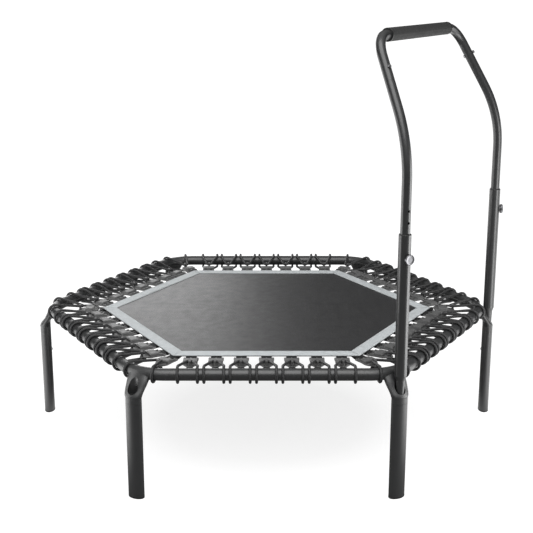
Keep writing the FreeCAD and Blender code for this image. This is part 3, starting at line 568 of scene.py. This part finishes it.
# ---------------------------------------------------------------- elastic loops
def round_end(tip, start, heading, steps=8):
    """Half of a loop's round end: points from its tip to its first straight run."""
    across = Vector((heading.x, 0, heading.z)).normalized()
    spread = math.asin(heading.y)
    radius = start.y * math.cos(spread) / (1 - heading.y)
    middle = tip + across * radius
    swings = [math.pi / 2 + (spread - math.pi / 2) * k / steps for k in range(steps + 1)]
    return [middle - across * radius * math.sin(a) + Vector((0, radius * math.cos(a), 0))
            for a in swings]


def strand_run(tip, level, touch, shoulder):
    """Points from a loop's tip to where its strand touches the tube."""
    start = tip + Vector((0, LOOP_START_HALF, 0))
    if not shoulder:
        end = round_end(tip, start, (touch - start).normalized())
        return end + [end[-1].lerp(touch, k / 6) for k in range(1, 7)]
    corner = level + (touch - level).normalized() * shoulder
    end = round_end(tip, start, (corner - start).normalized())
    back, ahead = (end[-1] - corner).normalized(), (touch - corner).normalized()
    reach = SHOULDER_RADIUS / math.tan(back.angle(ahead) / 2)
    first, last = corner + back * reach, corner + ahead * reach
    bend = []
    for k in range(7):
        t = k / 6
        bend.append(first * (1 - t) ** 2 + corner * 2 * t * (1 - t) + last * t * t)
    before = [end[-1].lerp(first, k / 5) for k in range(1, 5)]
    after = [last.lerp(touch, k / 3) for k in range(1, 4)]
    return end + before + bend + after


def loop_points(start_x, tube_x, tube_y, shoulder=0.0):
    """The closed centreline of one loop, in its own side's frame."""
    start_y = tube_y if shoulder else LOOP_START_HALF
    ahead = Vector((tube_x - start_x, tube_y - start_y, 0))
    reach = ahead.length
    ahead.normalize()

    def place(run, height):
        return Vector((start_x, start_y, height)) + ahead * run

    def on_tube(angle):
        return place(reach + WRAP_RADIUS * math.cos(angle),
                     TUBE_HEIGHT + WRAP_RADIUS * math.sin(angle))

    touches, runs = [], []
    for height, sign in ((LOOP_TOP, 1), (LOOP_BOTTOM, -1)):
        rise = TUBE_HEIGHT - height
        swing = math.asin(WRAP_RADIUS / math.hypot(reach, rise))
        angle = math.atan2(rise, reach) + sign * (swing + math.pi / 2)
        touches.append(angle)
        tip = Vector((start_x, 0, height))
        runs.append(strand_run(tip, place(0, height), on_tube(angle), shoulder))
    over, under = touches
    wrap = [on_tube(over + (under - over) * k / 18) for k in range(1, 18)]
    half = runs[0] + wrap + runs[1][::-1]
    return half + [Vector((p.x, -p.y, p.z)) for p in half[-2:0:-1]]


def make_loops():
    """The closed elastic loops, stretched between the tube and the hooks' pegs."""
    bend_centre = (APOTHEM - BEND_RADIUS) / COS30
    swing = math.asin(LOOP_CORNER_HALF / BEND_RADIUS)
    corner_tube = bend_centre + BEND_RADIUS * math.cos(swing)
    corner_start = LOOP_START + CORNER_SHIFT
    side_line = loop_points(LOOP_START, APOTHEM, LOOP_TUBE_HALF, LOOP_SHOULDER)
    corner_line = loop_points(corner_start, corner_tube, LOOP_CORNER_HALF)
    side_cord, corner_cord = sweep(side_line, CORD_RADIUS), sweep(corner_line, CORD_RADIUS)
    for side, azimuth, along, corner in side_places():
        rows = merge([moved(side_cord, place) for place in along])
        cords = piece("elastic_loops_" + side, *rows[:2], materials["loop_cord"], uvs=rows[2])
        single = moved(corner_cord, corner)
        last = piece("elastic_corner_loop_" + side, *single[:2], materials["loop_cord"],
                     uvs=single[2])
        for obj, heading, inner, outer in (
            (cords, turn(azimuth), LOOP_START + 0.020, APOTHEM - 0.021),
            (last, corner, corner_start + 0.020, corner_tube - 0.021),
        ):
            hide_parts("bungees_" + side)
            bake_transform(obj)


# ---------------------------------------------------------------- hooks and straps
def rounded(points, radius, steps=4):
    """A closed outline with its corners rounded."""
    result = []
    total = len(points)
    for i, point in enumerate(points):
        corner = Vector(point)
        before = (Vector(points[i - 1]) - corner)
        after = (Vector(points[(i + 1) % total]) - corner)
        reach = min(radius, before.length * 0.45, after.length * 0.45)
        start = corner + before.normalized() * reach
        end = corner + after.normalized() * reach
        for k in range(steps + 1):
            t = k / steps
            result.append(start * (1 - t) ** 2 + corner * 2 * t * (1 - t) + end * t * t)
    return result


def plate(outlines, low, high, bevel):
    """A flat plate with holes and bevelled edges, from a filled curve."""
    curve = bpy.data.curves.new("plate", "CURVE")
    curve.dimensions = "2D"
    curve.fill_mode = "BOTH"
    curve.bevel_depth = bevel
    curve.bevel_resolution = 2
    curve.offset = -bevel
    curve.extrude = (high - low) / 2 - bevel
    for outline in outlines:
        spline = curve.splines.new("POLY")
        spline.points.add(len(outline) - 1)
        for point, place in zip(spline.points, outline):
            point.co = (place[0], place[1], 0, 1)
        spline.use_cyclic_u = True
    holder = bpy.data.objects.new("plate", curve)
    bpy.context.scene.collection.objects.link(holder)
    bpy.context.view_layer.update()
    mesh = bpy.data.meshes.new_from_object(holder)
    middle = Vector((0, 0, (low + high) / 2))
    verts = [v.co + middle for v in mesh.vertices]
    faces = [tuple(p.vertices) for p in mesh.polygons]
    bpy.data.objects.remove(holder)
    bpy.data.curves.remove(curve)
    bpy.data.meshes.remove(mesh)
    return verts, faces, [(0, 0)] * sum(len(f) for f in faces)


def both_sides(points):
    """An outline whose other half is the mirror image of points, in order."""
    return points + [(x, -y) for x, y in points[::-1]]


def hook_shape():
    """One moulded hook: a plate with a strap slot, a raised block and a peg for the loop."""
    bar = HOOK_BAR
    body = both_sides([(bar - 0.0025, -0.0240), (bar + 0.0090, -0.0245), (bar + 0.0240, -0.0225),
                       (bar + 0.0540, -0.0230), (bar + 0.0620, -0.0190), (bar + 0.0800, -0.0060)])
    slot = both_sides([(bar + 0.0025, -0.0180), (bar + 0.0080, -0.0180)])
    windows = [[(bar + 0.0110, side * 0.0030), (bar + 0.0110, side * 0.0170),
                (bar + 0.0210, side * 0.0140), (bar + 0.0210, side * 0.0090)] for side in (-1, 1)]
    block = both_sides([(bar + 0.0240, -0.0205), (bar + 0.0270, -0.0222), (bar + 0.0540, -0.0230)])
    lid = both_sides([(bar + 0.0270, -0.0180), (bar + 0.0505, -0.0188)])
    parts = [
        plate([rounded(body, 0.003), rounded(slot, 0.0015)]
              + [rounded(w, 0.0012) for w in windows], HOOK_BOTTOM, PLATE_TOP, 0.0009),
        plate([rounded(block, 0.0025)], PLATE_TOP - 0.0007, BLOCK_TOP, 0.0012),
        plate([rounded(lid, 0.003)], BLOCK_TOP - 0.0009, LID_TOP, 0.0007),
    ]
    peg = [(0.0001, 0.3780), (0.0041, 0.3780), (0.0047, 0.3787), (0.0047, 0.3800),
           (0.0041, 0.3812), (0.0041, 0.4030), (0.0047, 0.4045), (0.0047, 0.4083),
           (0.0041, 0.4090), (0.0001, 0.4090)]
    parts.append(lathe(peg, Matrix.Translation((LOOP_START + PEG_AHEAD, 0, 0)), 20))
    for side in (-1, 1):
        rib = [(bar + 0.0085, side * 0.0180), (bar + 0.0250, side * 0.0165),
               (bar + 0.0250, side * 0.0195), (bar + 0.0085, side * 0.0230)]
        parts.append(plate([rounded(rib, 0.0010)], PLATE_TOP - 0.0010, PLATE_TOP + 0.0040, 0.0005))
    rib = both_sides([(bar + 0.0085, -0.0016), (bar + 0.0250, -0.0070)])
    parts.append(plate([rounded(rib, 0.0010)], PLATE_TOP - 0.0010, PLATE_TOP + 0.0036, 0.0005))
    return merge(parts)


def strap_shape():
    """A folded webbing strap round the hook's bar."""
    half = STRAP_HALF_WIDTH
    line = [(0.485, 0.3929), (0.500, 0.3929), (0.512, 0.39275), (0.5205, 0.3929)]
    for k in range(1, 8):
        angle = math.pi / 2 - math.pi * k / 8
        line.append((HOOK_BAR + 0.0037 * math.cos(angle), 0.38935 + 0.0036 * math.sin(angle)))
    line += [(0.5205, 0.3857), (0.512, 0.3858), (0.500, 0.3870), (0.485, 0.3900)]
    rings = []
    for i, (x, z) in enumerate(line):
        before, after = line[max(0, i - 1)], line[min(len(line) - 1, i + 1)]
        run = Vector((after[0] - before[0], 0, after[1] - before[1])).normalized()
        across = Vector((-run.z, 0, run.x)) * STRAP_HALF_THICKNESS
        middle = Vector((x, 0, z))
        ring = []
        for y, side in ((-half, 1), (0, 1.15), (half, 1), (half, -1), (0, -1), (-half, -1)):
            ring.append(middle + across * side + Vector((0, y, 0)))
        rings.append(ring)
    verts, faces, _ = ring_mesh(rings, caps=True)
    lengths = run_lengths(line)
    uvs = [(verts[index].y, lengths[index // 6]) for face in faces for index in face]
    return verts, faces, uvs


def make_hooks():
    """The hooks of each side, and all the straps that hold them to the mat."""
    hook, strap = hook_shape(), strap_shape()
    straps = []
    for side, _, along, corner in side_places():
        outward = corner @ Matrix.Translation((CORNER_SHIFT, 0, 0))
        places = along + [outward]
        rows = merge([moved(hook, place) for place in places])
        hooks = piece("moulded_hooks_" + side, *rows[:2], materials["hook_plastic"])
        auto_smooth(hooks)
        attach(hooks, "mat")
        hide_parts("hooks_" + side)
        straps += [moved(strap, place) for place in places]
    verts, faces, uvs = merge(straps)
    webbing = piece("hook_straps", verts, faces, materials["strap_webbing"], smooth=False, uvs=uvs)
    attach(webbing, "mat")
    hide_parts("webbing_tabs")
    return webbing


def auto_smooth(obj, angle=35.0):
    """Smooth shading, with the edges sharper than an angle kept."""
    obj.data.set_sharp_from_angle(angle=math.radians(angle))


# ---------------------------------------------------------------- grip and knobs
def grip_place():
    """Local Z runs along the top bar."""
    middle = turn(GRIP_AZIMUTH) @ Matrix.Translation((GRIP_DISTANCE, 0, GRIP_HEIGHT))
    return middle @ Matrix.Rotation(math.radians(-90), 4, "X")


def make_grip():
    """The foam grip, with long shallow ridges, and its two end rings."""
    half, radius, bore = GRIP_HALF_LENGTH, GRIP_RADIUS, GRIP_BORE
    place = grip_place()
    foam_end = half - END_RING
    straight_end = half - 0.0095
    flank = [(radius - 0.0018, foam_end), (radius - 0.0004, half - 0.007), (radius, straight_end)]
    profile = [(bore, -foam_end)] + [(r, -height) for r, height in flank]
    profile += [(radius, straight_end * (k / 12 - 1)) for k in range(1, 24)]
    profile += flank[::-1] + [(bore, foam_end)]
    segments, rings = 96, []
    for r, height in profile:
        ridge = 0.00018 if r > bore else 0.0
        angles = [2 * math.pi * k / segments for k in range(segments)]
        rings.append(circle(place, [r + ridge * math.cos(angle * 12) for angle in angles], height))
    verts, faces, uvs = ring_mesh(rings)
    foam = piece("foam_sleeve", verts, faces, materials["foam_rubber"], uvs=uvs)
    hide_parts("foam_grip")
    cap = [(bore, foam_end), (radius - 0.0004, foam_end), (radius + 0.0003, half - 0.0045),
           (radius + 0.0003, half - 0.0012), (radius - 0.0006, half), (bore, half)]
    far = [(r, -height) for r, height in cap[::-1]]
    ends = [lathe(outline, place, 64) for outline in (far, cap)]
    caps = piece("grip_end_rings", *merge(ends)[:2], materials["guide_plastic"])
    for obj in (foam, caps):
        auto_smooth(obj)
        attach(obj, "handle")


def make_spring(name, place):
    """The plunger's coil spring, wound between the housing's cap and the collar."""
    steps, collar, cap = 24, SPRING_FOOT, SPRING_HEAD
    points = []
    for i in range(SPRING_COILS * steps + 1):
        angle = 2 * math.pi * i / steps
        height = collar + (cap - collar) * i / (SPRING_COILS * steps)
        points.append(place @ Vector((SPRING_RADIUS * math.cos(angle),
                                      SPRING_RADIUS * math.sin(angle), height)))
    rows = sweep(points, SPRING_WIRE, 8, closed=False)
    coil = piece("plunger_coil_" + name, *rows[:2], materials["bolt_steel"], uvs=rows[2])
    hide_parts("plunger_spring_" + name)
    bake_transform(coil)


def make_knobs():
    """Pull knobs: a turned disc with a shallow dished face, a bright rim and a knurled side."""
    face, radius, segments = KNOB_FACE, KNOB_RADIUS, 120
    knurled = (radius, face - 0.0069), (radius, face - 0.0012)
    profile = [(0.0026, face - 0.0017), (0.0080, face - 0.0019), (0.0080, face - 0.0075),
               (radius - 0.0006, face - 0.0075), *knurled,
               (radius - 0.0008, face - 0.0002), (radius - 0.0016, face),
               (radius - 0.0024, face - 0.0003), (radius - 0.0030, face - 0.0006),
               (0.0060, face - 0.0006), (0.0001, face - 0.0006)]
    for name, azimuth in (("right", 0.0), ("front", 300.0)):
        centre = turn(azimuth) @ Matrix.Translation((LEG_DISTANCE, 0, PIN_HEIGHT))
        place = centre @ Matrix.Rotation(math.radians(90), 4, "Y")
        rings = []
        for r, height in profile:
            groove = 0.0002 if (r, height) in knurled else 0.0
            radii = [r - groove if k % 2 else r for k in range(segments)]
            rings.append(circle(place, radii, height))
        verts, faces, uvs = ring_mesh(rings, lengths=run_lengths(profile))
        knob = piece("pull_knob_" + name, verts, faces, materials["knob_metal"], uvs=uvs)
        auto_smooth(knob)
        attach(knob, "knob_" + name)
        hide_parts("knob_" + name)
        make_spring(name, place)


mat = make_mat()
border, stitches = make_border()
label = make_label()
make_loops()
straps = make_hooks()
make_grip()
make_knobs()


# ---------------------------------------------------------------- floor, light and camera
def make_floor():
    """A pale floor with a painted shadow under the frame, on top of its real shade.

    To the camera the floor glows, dimmer near the frame and full farther out: a painted shadow.
    That glow is kept from the object's reflections, as in a cutout, apart from a painted glow at
    each side, seen only in reflections, that stands for the studio's side walls.
    """
    material, tree, shader = new_material("pale_floor", Roughness=0.9, Specular_IOR_Level=0.1)
    position = object_position(tree)
    pale = blend_colours(tree, noise(tree, position, 3.0, 3.0), (0.19,) * 3, (0.21,) * 3)
    tree.links.new(pale, shader.inputs["Base Color"])
    shifted = add(tree, "VectorMath", {0: position, 1: (0.0, 0.08, 0.0)}).outputs[0]
    away = add(tree, "VectorMath", {0: shifted}, operation="LENGTH").outputs["Value"]
    # painted shadow: the glow the camera sees is dimmer near the frame and full farther out
    camera_glow_painted_shadow = between(tree, away, 0.79, 1.02, 0.36, 0.86)
    across = add(tree, "SeparateXYZ", {0: position}).outputs
    # painted side glow: beside the frame, seen only in reflections, it brightens the sides of the
    # legs and uprights
    right = between(tree, across[0], 0.0, 1.7, 0.60, 1.0)
    left = between(tree, across[0], 0.0, 2.0, -0.60, -1.0)
    beside = between(tree, across[1], 0.0, 1.0, -1.05, -0.75)
    painted_side_glow = math_node(tree, "MULTIPLY", math_node(tree, "ADD", right, left), beside)
    seen = add(tree, "LightPath").outputs["Is Camera Ray"]
    # the camera sees the glow with its painted shadow; reflections see only the painted side glow
    glow = add(tree, "Mix", {0: seen, 2: painted_side_glow, 3: camera_glow_painted_shadow}, data_type="FLOAT")
    shader.inputs["Emission Color"].default_value = (1, 1, 1, 1)
    tree.links.new(glow.outputs[0], shader.inputs["Emission Strength"])
    size, steps = 160.0, 4
    verts = [(size * (i / steps - 0.5), size * (j / steps - 0.5), 0)
             for j in range(steps + 1) for i in range(steps + 1)]
    faces = [(j * (steps + 1) + i, j * (steps + 1) + i + 1, (j + 1) * (steps + 1) + i + 1,
              (j + 1) * (steps + 1) + i) for j in range(steps) for i in range(steps)]
    piece("floor", verts, faces, material, smooth=False)


def area_light(name, place, aim, size, radiance):
    """A rectangular softbox whose face has the given radiance."""
    data = bpy.data.lights.new(name, "AREA")
    data.shape = "RECTANGLE"
    data.size, data.size_y = size
    data.energy = radiance * math.pi * size[0] * size[1]
    obj = bpy.data.objects.new(name, data)
    obj.location = place
    obj.rotation_euler = (Vector(aim) - Vector(place)).to_track_quat("-Z", "Y").to_euler()
    bpy.context.scene.collection.objects.link(obj)


def make_world():
    """A plain studio: soft in front and overhead, darker behind."""
    world = bpy.data.worlds.new("studio")
    bpy.context.scene.world = world
    world.use_nodes = True
    tree = world.node_tree
    background = tree.nodes["Background"]
    axes = add(tree, "SeparateXYZ", {0: add(tree, "TexCoord").outputs["Generated"]}).outputs
    lift = between(tree, axes[2], 0.02, 0.5, 0.30, 0.80)
    front = between(tree, axes[1], 0.35, 0.02, -0.6, 0.1)
    level = math_node(tree, "MAXIMUM", lift, front)
    level = math_node(tree, "MAXIMUM", level, add(tree, "LightPath").outputs["Is Camera Ray"])
    shade = add(tree, "CombineXYZ", {0: level, 1: level, 2: level}).outputs[0]
    tree.links.new(shade, background.inputs["Color"])
    background.inputs["Strength"].default_value = 1.0


def make_camera():
    """The camera in front of the object, looking a little down."""
    data = bpy.data.cameras.new("camera")
    data.sensor_width = SENSOR_WIDTH
    data.lens = LENS
    camera = bpy.data.objects.new("camera", data)
    camera.location = CAMERA_PLACE
    camera.rotation_euler = (math.radians(CAMERA_TILT), 0, 0)
    bpy.context.scene.collection.objects.link(camera)
    bpy.context.scene.camera = camera


make_floor()
make_world()
make_camera()
area_light("overhead_softbox", (0, -2.1, 3.5), (0, -0.4, 0.4), (3.4, 4.2), 3.1)
area_light("back_left_softbox", (-1.9, 5.0, 1.75), (0, 0, 0.4), (3.4, 2.2), 3.1)
area_light("right_panel", (1.5, -0.8, 0.55), (0, -0.7, 0.55), (0.8, 1.1), 5.0)
area_light("left_panel", (-1.5, -0.65, 0.55), (0, -0.6, 0.55), (0.8, 1.1), 2.6)
bpy.context.scene.view_settings.view_transform = "Standard"
